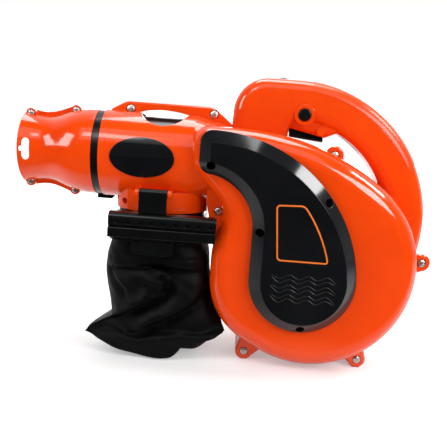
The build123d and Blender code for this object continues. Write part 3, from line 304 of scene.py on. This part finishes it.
# Dust bag: a limp sewn bag that hangs from the frame, slumps to the floor and kicks out to the left.
# The side profiles go by level, 0 at the mouth and 1 at the hem, and the bottom goes by x
bag = {
    "around": 200, "rows": 110, "top": 137.0, "lowest": 0.8, "thick": 0.9, "weld": 0.05, "dropShare": 1.4,
    "squareness": 4.2, "lowSquareness": 3.0,
    "left": ((0, -118.5), (0.06, -121.5), (0.2, -126), (0.38, -128.5), (0.55, -126), (0.7, -121.5),
             (0.78, -121), (0.84, -127), (0.92, -138), (0.97, -142.5), (1, -143.5)),
    "right": ((0, -28.5), (0.06, -26), (0.2, -20), (0.4, -17.5), (0.62, -12), (0.8, -5), (1, 4.5)),
    "front": ((0, -49), (0.06, -51), (0.2, -51.3), (0.35, -48), (0.55, -45.5), (0.75, -45), (0.9, -44),
              (1, -43)),
    "back": ((0, 49), (0.06, 51), (0.3, 52), (0.55, 51), (0.7, 47), (0.85, 24), (0.94, -12), (1, -38)),
    "backLevel": ((0, 137), (0.35, 82), (0.66, 8), (0.76, 1.6), (0.94, 1.6), (1, 6)),
    "bottom": ((-144, 26), (-125, 16.5), (-105, 9), (-72, 2.3), (-52, 3.2), (-44, 10), (-39, 18),
               (-26, 21.5), (-7, 29), (6, 40)),
    "backFrom": 0.1, "backOver": 0.8, "hemFrom": 0.94,  # where the back's own level sets in and ends
    "tuck": 0.2, "tuckFrom": 0.4, "tuckOver": 0.3,  # the sides of the back draw in lower down
    "folds": (
        {"line": ((-71, 96), (-60, 90), (-63, 79), (-72, 69), (-87, 61), (-103, 50), (-119, 39),
                  (-140, 29)),
         "up": -11.0, "upReach": 13.0, "down": 9.0, "downReach": 13.0, "edge": 2.0},
        {"line": ((-79, 38), (-61, 47), (-45, 55), (-30, 66), (-17, 82)),
         "up": 8.0, "upReach": 16.0, "down": -10.0, "downReach": 13.0, "edge": 2.4},
        {"line": ((-114, 100), (-76, 103), (-50, 102), (-23, 102)),
         "up": 1.0, "upReach": 6.0, "down": -6.0, "downReach": 8.0, "edge": 2.5},
        {"line": ((-117, 112.5), (-77, 114.5), (-18, 115.5)),
         "up": 0.0, "upReach": 2.0, "down": -1.4, "downReach": 2.0, "edge": 0.8},
        {"line": ((-140, 28), (-113, 29), (-88, 23), (-68, 28), (-47, 32), (-20, 31), (-1, 36)),
         "up": -4.0, "upReach": 8.0, "down": 3.0, "downReach": 12.0, "edge": 1.6},
        {"line": ((-116, 93), (-102, 78), (-98, 67)),
         "up": 3.5, "upReach": 6.0, "down": -2.5, "downReach": 7.0, "edge": 2.2},
        {"line": ((-78, 117), (-78, 104)),
         "up": 0.8, "upReach": 3.0, "down": -1.2, "downReach": 3.0, "edge": 1.0}),
    "foldsFrom": 0.2, "foldFacing": 0.6,  # folds fade out towards the mouth and round the sides
    "crumple": 1.6, "crumpleSize": 22.0, "crumpleDeep": 0.6, "seed": 4.0,
    "slack": 0.8, "slackSize": 8.0, "slackAcross": 0.7, "slackAlong": 0.35,
    "looseFrom": 0.12, "sideEase": 0.5, "sidePush": 0.5}


# How far the folds push the front of the bag out at a point of the front view: each line is an edge
# with one level on its upper side and another below it
def foldHeight(x, z):
    height = 0.0
    for fold in bag["folds"]:
        gap = lineDistance(x, z, fold["line"])
        upper = 0.5 + 0.5 * math.tanh(gap / fold["edge"])
        height += fold["up"] * upper * math.exp(-(max(gap, 0.0) / fold["upReach"]) ** 2)
        height += fold["down"] * (1 - upper) * math.exp(-(min(gap, 0.0) / fold["downReach"]) ** 2)
    return height


# Place of the cloth at a turn round the bag and a level down it
def bagPoint(turn, level):
    angle = turn * math.tau
    across, deep = math.cos(angle), math.sin(angle)
    left, right = along(bag["left"], level), along(bag["right"], level)
    front, back = along(bag["front"], level), along(bag["back"], level)
    power = 2 / (bag["squareness"] + (bag["lowSquareness"] - bag["squareness"]) * level)
    middle = (left + right) / 2
    x = middle - (right - left) / 2 * math.copysign(abs(across) ** power, across)
    y = (front + back) / 2 - (back - front) / 2 * math.copysign(abs(deep) ** power, deep)

    behind = clamp((-deep - bag["backFrom"]) / bag["backOver"])
    behind = behind * behind * (3 - 2 * behind)
    behind *= 1 - clamp((level - bag["hemFrom"]) / (1 - bag["hemFrom"]))
    frontZ = bag["top"] + (along(bag["bottom"], x) - bag["top"]) * level
    z = frontZ + (along(bag["backLevel"], level) - frontZ) * behind
    x += (middle - x) * bag["tuck"] * behind * clamp((level - bag["tuckFrom"]) / bag["tuckOver"])

    y -= foldHeight(x, z) * max(deep, 0.0) ** bag["foldFacing"] * clamp(level / bag["foldsFrom"])
    large = Vector((x, y * bag["crumpleDeep"], z)) / bag["crumpleSize"]
    large.x += bag["seed"]
    small = Vector(((x + z) * bag["slackAcross"], y, (z - x) * bag["slackAlong"])) / bag["slackSize"]
    push = bag["crumple"] * noise.noise(large) + bag["slack"] * noise.noise(small)
    push *= clamp(level / bag["looseFrom"])
    y -= push * math.copysign(clamp(abs(deep) / bag["sideEase"]), deep)
    x -= push * bag["sidePush"] * across
    return Vector((x, y, max(z, bag["lowest"]))) * mm


def makeBag():
    bm = bmesh.new()
    uvLayer = bm.loops.layers.uv.new("cloth")
    bmesh.ops.create_grid(bm, x_segments=bag["around"], y_segments=bag["rows"], size=0.5, calc_uvs=True)
    for vert in bm.verts:
        vert.co = bagPoint(vert.co.x + 0.5, 0.5 - vert.co.y)
    girth = 2 * (cadSpan("dust_bag", 0) + cadSpan("dust_bag", 1))
    drop = cadSpan("dust_bag", 2) * bag["dropShare"]
    for face in bm.faces:
        for loop in face.loops:
            loop[uvLayer].uv = (loop[uvLayer].uv.x * girth, loop[uvLayer].uv.y * drop)
    bmesh.ops.remove_doubles(bm, verts=bm.verts, dist=bag["weld"] * mm)
    bmesh.ops.recalc_face_normals(bm, faces=bm.faces)
    area = sum(face.calc_area() for face in bm.faces)
    piece = makePiece("bagShell", bm, bagCloth, "housing")
    wall = piece.modifiers.new("wall", "SOLIDIFY")
    wall.thickness = bag["thick"] * mm
    wall.offset = -1
    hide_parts("dust_bag")
    print("bag: area", round(area * 1e4, 1), "cm2, cut", round(girth, 3), "by", round(area / girth, 3))


makeBag()

# Bare framed panel on the cover: an outline with a curved right side, printed a little proud
panel = {
    "topLeft": (45.3, 181.6), "topRight": (73.3, 182.7),
    "lowLeft": (50.2, 126.1), "lowRight": (101.5, 125.9),
    "bulge": 3.5, "bulgeSteps": 8, "round": 4.0, "roundSteps": 5, "wall": 1.6, "proud": 0.3, "sink": 0.4}
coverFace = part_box("motor_cover")[0].y


# Keeps only a rim round the drawn shapes, and raises it out of the cover's face
def raiseRim(bm, trim):
    rim = bmesh.ops.inset_region(bm, faces=bm.faces, thickness=trim["wall"] * mm,
                                 use_boundary=True, use_even_offset=True)["faces"]
    bmesh.ops.delete(bm, geom=[face for face in bm.faces if face not in rim], context="FACES")
    raised = bmesh.ops.extrude_face_region(bm, geom=list(bm.faces))["geom"]
    tops = [item for item in raised if isinstance(item, bmesh.types.BMVert)]
    bmesh.ops.translate(bm, verts=tops, vec=Vector((0, -(trim["proud"] + trim["sink"]) * mm, 0)))
    bmesh.ops.recalc_face_normals(bm, faces=bm.faces)


def makePanelLine():
    bm = bmesh.new()
    topRight, lowRight = Vector(panel["topRight"]), Vector(panel["lowRight"])
    down = (lowRight - topRight).normalized()
    sweep = []
    for i in range(1, panel["bulgeSteps"]):
        share = i / panel["bulgeSteps"]
        bulge = panel["bulge"] * 4 * share * (1 - share)
        sweep.append(topRight.lerp(lowRight, share) + Vector((-down.y, down.x)) * bulge)
    outline = [Vector(panel["topLeft"]), topRight, *sweep, lowRight, Vector(panel["lowLeft"])]
    verts = [bm.verts.new((p.x * mm, coverFace + panel["sink"] * mm, p.y * mm)) for p in outline]
    bm.faces.new(verts)
    corners = [verts[0], verts[1], verts[-2], verts[-1]]
    bmesh.ops.bevel(bm, geom=corners, offset=panel["round"] * mm, offset_type="OFFSET",
                    segments=panel["roundSteps"], profile=0.5, affect="VERTICES", material=-1)
    raiseRim(bm, panel)
    makePiece("coverPanelLine", bm, orangeInk, "housing")


makePanelLine()

# Pan heads on the bright screws: a low dome with a cross recess, seated on each screw's flat head
panHead = {"spokes": 64, "rings": 30, "dome": 1.0, "rim": 0.5, "inset": 0.25, "sink": 0.3, "topShare": 0.8,
           "wallShare": 0.9, "crossHalf": 0.6, "crossReach": 2.2, "crossDeep": 1.1, "crossSoft": 0.35,
           "weld": 0.005, "nodeWeld": 0.001}


# Middle of each separate screw's head in a node, and the radius of that head
def screwTops(nodeName):
    bm = bmesh.new()
    bm.from_mesh(nodes[nodeName].data)
    bmesh.ops.transform(bm, matrix=nodes[nodeName].matrix_world, verts=bm.verts)
    bmesh.ops.remove_doubles(bm, verts=bm.verts, dist=panHead["nodeWeld"] * mm)
    left, tops = set(bm.verts), []
    for start in bm.verts:
        if start not in left:
            continue
        left.remove(start)
        screw, border = [], [start]
        while border:
            vert = border.pop()
            screw.append(vert.co)
            for edge in vert.link_edges:
                near = edge.other_vert(vert)
                if near in left:
                    left.remove(near)
                    border.append(near)
        low = [min(point[axis] for point in screw) for axis in range(3)]
        high = [max(point[axis] for point in screw) for axis in range(3)]
        middle = Vector(((low[0] + high[0]) / 2, low[1], (low[2] + high[2]) / 2))
        tops.append((middle, (high[0] - low[0]) / 2))
    bm.free()
    print(nodeName, "has", len(tops), "heads")
    return tops


# Height of a pan head over its seat, all in millimetres
def panHeight(x, z, radius):
    narrow, wide = sorted((abs(x), abs(z)))
    cross = clamp((panHead["crossHalf"] - narrow) / panHead["crossSoft"] + 0.5)
    cross *= clamp((panHead["crossReach"] - wide) / panHead["crossSoft"] + 0.5)
    dome = panHead["dome"] * (1 - (x * x + z * z) / radius ** 2)
    return panHead["rim"] + dome - panHead["crossDeep"] * cross


def makePanHeads(pieceName, nodeName, body):
    bm = bmesh.new()
    for seat, headRadius in screwTops(nodeName):
        radius = headRadius / mm - panHead["inset"]
        grid = bmesh.ops.create_grid(bm, x_segments=panHead["spokes"], y_segments=panHead["rings"],
                                     size=0.5)
        for vert in grid["verts"]:
            angle, way = (vert.co.x + 0.5) * math.tau, vert.co.y + 0.5
            under = way > panHead["wallShare"]
            if under:
                share = (1 - way) / (1 - panHead["wallShare"])
            else:
                share = clamp(way / panHead["topShare"])
            x, z = radius * share * math.cos(angle), radius * share * math.sin(angle)
            rise = -panHead["sink"] if under else panHeight(x, z, radius)
            vert.co = seat + Vector((x, -rise, z)) * mm
    bmesh.ops.remove_doubles(bm, verts=bm.verts, dist=panHead["weld"] * mm)
    bmesh.ops.recalc_face_normals(bm, faces=bm.faces)
    makePiece(pieceName, bm, zincSteel, body)


makePanHeads("housingPanHeads", "housing_screws", "housing")
makePanHeads("nozzlePanHeads", "nozzle_screws", "nozzle")

# Three closed wavy ribs moulded on the lower half of the cover
waves = {
    "left": 46.0, "right": 111.0, "levels": (108.5, 98.5, 88.5), "height": 5.4, "swing": 2.0, "count": 3.5,
    "segments": 72, "blunt": 8, "wall": 0.9, "proud": 0.35, "sink": 0.4, "weld": 0.02}


def makeWaveRibs():
    bm = bmesh.new()
    middle = (waves["left"] + waves["right"]) / 2
    length = waves["right"] - waves["left"]
    for level in waves["levels"]:
        grid = bmesh.ops.create_grid(bm, x_segments=waves["segments"], y_segments=1, size=0.5)
        for vert in grid["verts"]:
            share, side = vert.co.x, vert.co.y
            swell = math.sin(share * waves["count"] * math.tau) * waves["swing"]
            pinch = math.sqrt(max(1 - (2 * share) ** waves["blunt"], 0.0))
            vert.co.x = (middle + share * length) * mm
            vert.co.y = coverFace + waves["sink"] * mm
            vert.co.z = (level + swell + side * waves["height"] * pinch) * mm
    bmesh.ops.remove_doubles(bm, verts=bm.verts, dist=waves["weld"] * mm)
    raiseRim(bm, waves)
    makePiece("coverWaveRibs", bm, blackSatin, "housing")


makeWaveRibs()
print("cover trim done")

# Camera: set from the photo's viewing angle
view = {"eye": (2.2, -601.3, 258.9), "target": (-4.8, 0.0, 145.9), "roll": 4.087, "focalPixels": 556.2,
        "imagePixels": 447, "sensor": 36.0, "nearest": 10.0}


def makeCamera():
    eye, target = Vector(view["eye"]) * mm, Vector(view["target"]) * mm
    ahead = (target - eye).normalized()
    right = ahead.cross(Vector((0, 0, 1))).normalized()
    up = right.cross(ahead)
    roll = math.radians(view["roll"])
    imageRight = right * math.cos(roll) + up * math.sin(roll)
    imageUp = up * math.cos(roll) - right * math.sin(roll)
    data = bpy.data.cameras.new("photoCamera")
    data.sensor_width = view["sensor"]
    data.lens = view["focalPixels"] / view["imagePixels"] * view["sensor"]
    data.clip_start = view["nearest"] * mm
    camera = bpy.data.objects.new("photoCamera", data)
    turn = Matrix((imageRight, imageUp, -ahead)).transposed().to_4x4()
    camera.matrix_world = Matrix.Translation(eye) @ turn
    scene.collection.objects.link(camera)
    scene.camera = camera


makeCamera()

# Soft boxes round the object: where, how large and how bright
lights = (
    {"name": "keyBox", "at": (789, -781, 652), "size": (540, 400), "watts": 6.2},
    {"name": "rightBox", "at": (900, -60, 900), "size": (300, 300), "watts": 4.0},
    {"name": "barrelStrip", "at": (-350, -680, 915), "size": (240, 170), "watts": 0.65},
    {"name": "topPanel", "at": (0, -680, 980), "size": (1200, 640), "watts": 2.0},
    {"name": "topBox", "at": (60, 160, 1150), "size": (800, 420), "watts": 6.5},
    {"name": "leftBox", "at": (-850, -550, 600), "size": (300, 500), "watts": 3.2},
    {"name": "rearBox", "at": (0, 1000, 420), "size": (1300, 600), "watts": 8.0})
aim = Vector((0, 0, 140)) * mm
for box in lights:
    lamp = bpy.data.lights.new(box["name"], "AREA")
    lamp.shape = "RECTANGLE"
    lamp.size, lamp.size_y = box["size"][0] * mm, box["size"][1] * mm
    lamp.energy = box["watts"]
    holder = bpy.data.objects.new(box["name"], lamp)
    place = Vector(box["at"]) * mm
    holder.location = place
    holder.rotation_euler = (aim - place).to_track_quat("-Z", "Y").to_euler()
    scene.collection.objects.link(holder)

# Studio surround: white behind the object as the camera and mirrors see it, dimmer as a light
surround = {"fill": "#bfbfbf", "fillStrength": 0.55, "white": "#ffffff", "shade": 0.04, "shadeTo": -0.1,
            "whiteFrom": 0.6}
world = bpy.data.worlds.new("studio")
world.use_nodes = True
scene.world = world
tree = world.node_tree
tree.nodes.clear()
rays = addNode(tree, "ShaderNodeLightPath")
direction = addNode(tree, "ShaderNodeTexCoord")
split = addNode(tree, "ShaderNodeSeparateXYZ", None, {"Vector": direction.outputs["Generated"]})
rearward = addNode(tree, "ShaderNodeMapRange",
                   {"From Min": surround["shadeTo"], "From Max": surround["whiteFrom"],
                    "To Min": surround["shade"], "To Max": 1.0},
                   {"Value": split.outputs["Y"]})
mirrored = addNode(tree, "ShaderNodeMath", {"operation": "MAXIMUM"},
                   {0: rays.outputs["Is Glossy Ray"], 1: rays.outputs["Is Transmission Ray"]})
dim = addNode(tree, "ShaderNodeBackground",
              {"Color": linear(surround["fill"]), "Strength": surround["fillStrength"]})
studio = addNode(tree, "ShaderNodeBackground", {"Color": linear(surround["white"])},
                 {"Strength": rearward.outputs["Result"]})
white = addNode(tree, "ShaderNodeBackground", {"Color": linear(surround["white"])})
seen = addNode(tree, "ShaderNodeMixShader", None,
               {0: mirrored.outputs["Value"], 1: dim.outputs["Background"],
                2: studio.outputs["Background"]})
shown = addNode(tree, "ShaderNodeMixShader", None,
                {0: rays.outputs["Is Camera Ray"], 1: seen.outputs["Shader"],
                 2: white.outputs["Background"]})
addNode(tree, "ShaderNodeOutputWorld", None, {"Surface": shown.outputs["Shader"]})

# Pale floor: matt white paper that keeps the contact shadow and stays white to the camera; reflections see
# its front part painted near black, a painted shade
# mirrored is the painted shade: the near-black colour that reflections show on the floor in front of the
# object, for a dark studio front
floorLook = {"half": 4.0, "paper": "#e8e8e8", "mirrored": "#1c1c1c", "glow": "#ffffff", "near": 0.32,
             "far": 1.0, "nearAt": 0.25, "farAt": 0.9, "frontShadeStarts": -0.04, "frontShadeFull": -0.16}


def makeFloor():
    bm = bmesh.new()
    bmesh.ops.create_grid(bm, x_segments=1, y_segments=1, size=floorLook["half"])
    mesh = bpy.data.meshes.new("floor")
    bm.to_mesh(mesh)
    bm.free()
    floor = bpy.data.objects.new("floor", mesh)
    material, paper = startMaterial("whitePaper")
    path = addNode(paper, "ShaderNodeLightPath")
    spot = addNode(paper, "ShaderNodeTexCoord")
    away = addNode(paper, "ShaderNodeVectorMath", {"operation": "LENGTH"}, {0: spot.outputs["Object"]})
    sides = addNode(paper, "ShaderNodeSeparateXYZ", None, {"Vector": spot.outputs["Object"]})
    # Painted dark reflection: towards the front, glossy rays see the floor go from paper to the mirrored
    # colour
    frontShadeShare = addNode(paper, "ShaderNodeMapRange",
                     {"From Min": floorLook["frontShadeStarts"], "From Max": floorLook["frontShadeFull"]},
                     {"Value": sides.outputs["Y"]})
    paintedFrontShade = addNode(paper, "ShaderNodeMath", {"operation": "MULTIPLY"},
                    {0: path.outputs["Is Glossy Ray"], 1: frontShadeShare.outputs["Result"]})
    sheet = addNode(paper, "ShaderNodeMix",
                    {"data_type": "RGBA", 6: linear(floorLook["paper"]), 7: linear(floorLook["mirrored"])},
                    {0: paintedFrontShade.outputs["Value"]})
    matt = addNode(paper, "ShaderNodeBsdfDiffuse", None, {"Color": sheet.outputs[2]})
    rise = addNode(paper, "ShaderNodeMapRange",
                   {"interpolation_type": "SMOOTHSTEP",
                    "From Min": floorLook["nearAt"], "From Max": floorLook["farAt"],
                    "To Min": floorLook["near"], "To Max": floorLook["far"]},
                   {"Value": away.outputs["Value"]})
    lift = addNode(paper, "ShaderNodeMath", {"operation": "MULTIPLY"},
                   {0: path.outputs["Is Camera Ray"], 1: rise.outputs["Result"]})
    glow = addNode(paper, "ShaderNodeEmission", {"Color": linear(floorLook["glow"])},
                   {"Strength": lift.outputs["Value"]})
    both = addNode(paper, "ShaderNodeAddShader", None,
                   {0: matt.outputs["BSDF"], 1: glow.outputs["Emission"]})
    addNode(paper, "ShaderNodeOutputMaterial", None, {"Surface": both.outputs["Shader"]})
    mesh.materials.append(material)
    scene.collection.objects.link(floor)


makeFloor()
print("stage, lights and camera done")
